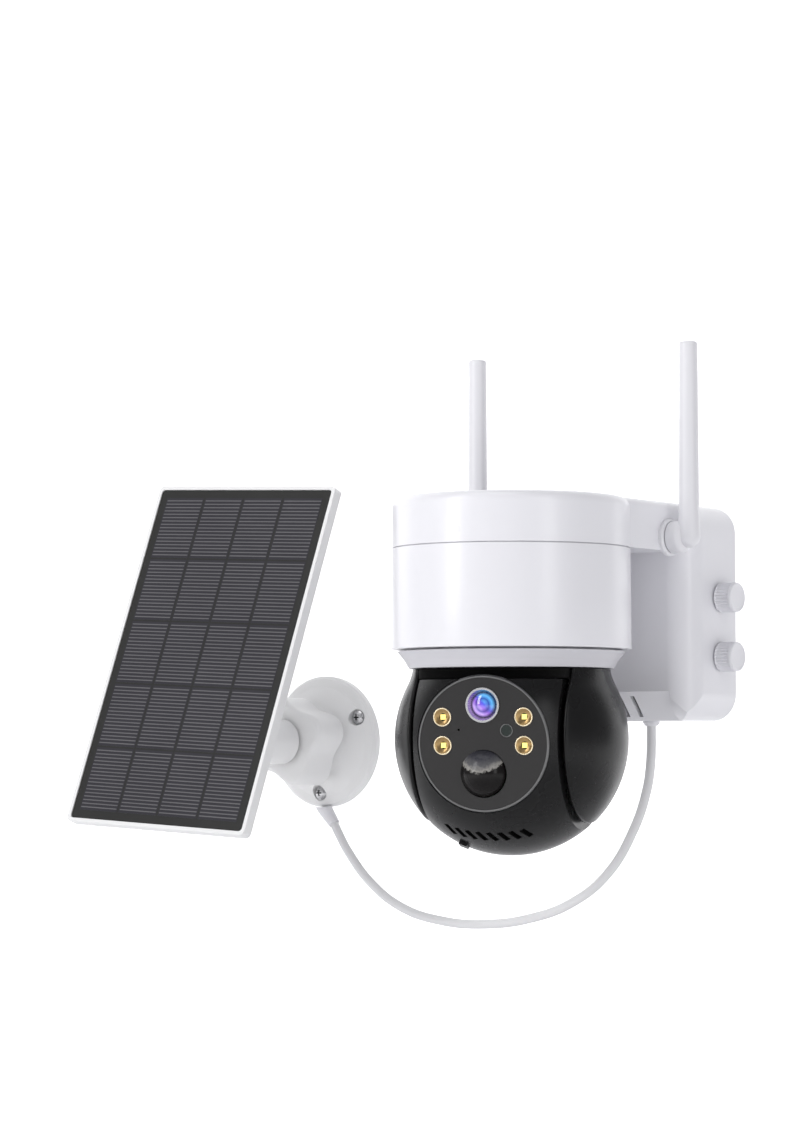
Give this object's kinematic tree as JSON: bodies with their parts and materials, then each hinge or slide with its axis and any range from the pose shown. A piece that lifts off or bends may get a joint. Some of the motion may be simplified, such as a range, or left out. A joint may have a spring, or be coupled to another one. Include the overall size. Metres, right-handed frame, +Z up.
{
  "type": "solar security camera",
  "caption": "Wall-mounted pan and tilt security camera with two folding aerials, a battery box, and a solar panel on its own wall bracket joined by a lead.",
  "frame": {"origin": "middle of the four wall screws, on the wall face of the camera's wall plate", "axes": "+Z up, +Y into the wall, +X to the right as seen from in front of the wall"},
  "size_m": [0.3449, 0.177, 0.3032],
  "materials": {
    "white_housing": "satin moulded white",
    "white_bracket": "satin moulded white",
    "white_soft": "soft satin",
    "grey_inner": "matt",
    "black_gloss": "gloss black",
    "face_dark": "smoked gloss",
    "face_rim": "satin dark metal",
    "steel": "bright steel",
    "lens_glass": "coated glass",
    "lamp_gold": "polished gold",
    "lamp_chip": "phosphor",
    "dome_lens": "dark moulded lens",
    "sensor_green": "dark window",
    "circuit_board": "solder mask",
    "battery_wrap": "shrink wrap",
    "ivory_gear": "acetal",
    "brass_gear": "turned",
    "solar_cells": "laminated silicon",
    "black_matte": "matt",
    "lead_sheath": "smooth sheath"
  },
  "bodies": {
    "housing": {"wall_plate": "white_housing", "box_back": "white_housing", "battery_box": "white_housing", "box_screws": "steel", "battery_cells": "battery_wrap", "battery_holder": "grey_inner", "charge_board": "circuit_board", "lead_gland": "white_soft", "vent_mesh": "black_matte", "top_cover": "white_housing", "drum_shell": "white_housing", "drum_collar": "white_housing", "cover_screws": "steel", "main_board": "circuit_board", "pan_bearing": "steel", "pan_motor": "steel", "aerial_boss_left": "white_soft", "aerial_boss_right": "white_soft", "bracket_base": "white_bracket", "bracket_screws": "steel", "base_gland": "white_soft", "solar_lead": "lead_sheath"},
    "upper_clamp": {"clamp_screw_upper": "white_housing"},
    "lower_clamp": {"clamp_screw_lower": "white_housing"},
    "left_aerial": {"aerial_left": "white_soft"},
    "right_aerial": {"aerial_right": "white_soft"},
    "pan_drive": {"pan_pinion": "brass_gear"},
    "yoke": {"pan_gear": "ivory_gear", "yoke_shaft": "grey_inner", "yoke_shell": "black_gloss", "cheek_plate_left": "black_matte", "cheek_plate_right": "black_matte", "tilt_motor": "steel"},
    "tilt_drive": {"tilt_pinion": "brass_gear"},
    "ball": {"ball_shell": "black_gloss", "ball_rear_cover": "black_gloss", "tilt_trunnions": "grey_inner", "tilt_gear": "ivory_gear", "reset_cover": "black_gloss", "face_rim": "face_rim", "face_plate": "face_dark", "lens_barrel": "steel", "lens_glass": "lens_glass", "lamp_rings": "lamp_gold", "lamp_chips": "lamp_chip", "motion_dome": "dome_lens", "light_sensor": "sensor_green", "sensor_board": "circuit_board", "image_board": "circuit_board", "speaker": "black_matte"},
    "lock_nut": {"lock_ring": "white_bracket"},
    "stud": {"ball_stud": "steel"},
    "arm": {"arm_tube": "white_bracket"},
    "panel": {"panel_foot": "white_bracket", "knuckle_bolt": "steel", "panel_back": "white_bracket", "panel_frame": "white_bracket", "panel_cells": "solar_cells", "panel_junction": "black_matte"}
  },
  "joints": [
    {"name": "pan", "type": "hinge", "parent": "housing", "child": "yoke", "pos_m": [0, -0.117, -0.03], "axis": [0, 0, 1], "range_deg": [-160, 160]},
    {"name": "pan_drive_turn", "type": "hinge", "parent": "housing", "child": "pan_drive", "pos_m": [0, -0.0793, -0.005], "axis": [0, 0, 1], "range_deg": [-700, 700]},
    {"name": "tilt", "type": "hinge", "parent": "yoke", "child": "ball", "pos_m": [0, -0.117, -0.065], "axis": [0.9511, 0.309, 0], "range_deg": [0, 75]},
    {"name": "tilt_drive_turn", "type": "hinge", "parent": "yoke", "child": "tilt_drive", "pos_m": [0, -0.117, -0.0852], "axis": [0.9511, 0.309, 0], "range_deg": [-200, 20]},
    {"name": "left_aerial_fold", "type": "hinge", "parent": "housing", "child": "left_aerial", "pos_m": [-0.0656, -0.0542, 0.037], "axis": [1, 0, 0], "range_deg": [0, 110]},
    {"name": "right_aerial_fold", "type": "hinge", "parent": "housing", "child": "right_aerial", "pos_m": [0.0656, -0.0542, 0.037], "axis": [1, 0, 0], "range_deg": [0, 110]},
    {"name": "upper_clamp_turn", "type": "hinge", "parent": "housing", "child": "upper_clamp", "pos_m": [0.06, -0.0159, 0.0077], "axis": [1, 0, 0], "continuous": true},
    {"name": "lower_clamp_turn", "type": "hinge", "parent": "housing", "child": "lower_clamp", "pos_m": [0.06, -0.0159, -0.0227], "axis": [1, 0, 0], "continuous": true},
    {"name": "lock_turn", "type": "hinge", "parent": "housing", "child": "lock_nut", "pos_m": [-0.209, -0.03, -0.0658], "axis": [0, -1, 0], "range_deg": [0, 90]},
    {"name": "arm_swing", "type": "hinge", "parent": "housing", "child": "stud", "pos_m": [-0.209, -0.024, -0.0658], "axis": [0, 0, 1], "range_deg": [-6, 6]},
    {"name": "arm_turn", "type": "hinge", "parent": "stud", "child": "arm", "pos_m": [-0.209, -0.024, -0.0658], "axis": [0, -1, 0], "range_deg": [-30, 30]},
    {"name": "panel_tilt", "type": "hinge", "parent": "arm", "child": "panel", "pos_m": [-0.209, -0.112, -0.0658], "axis": [0.9988, 0, -0.0488], "range_deg": [-25, 20]}
  ],
  "couplings": [
    {"joint": "pan_drive_turn", "follows": "pan", "ratio": -4},
    {"joint": "tilt_drive_turn", "follows": "tilt", "ratio": -2.3333}
  ]
}
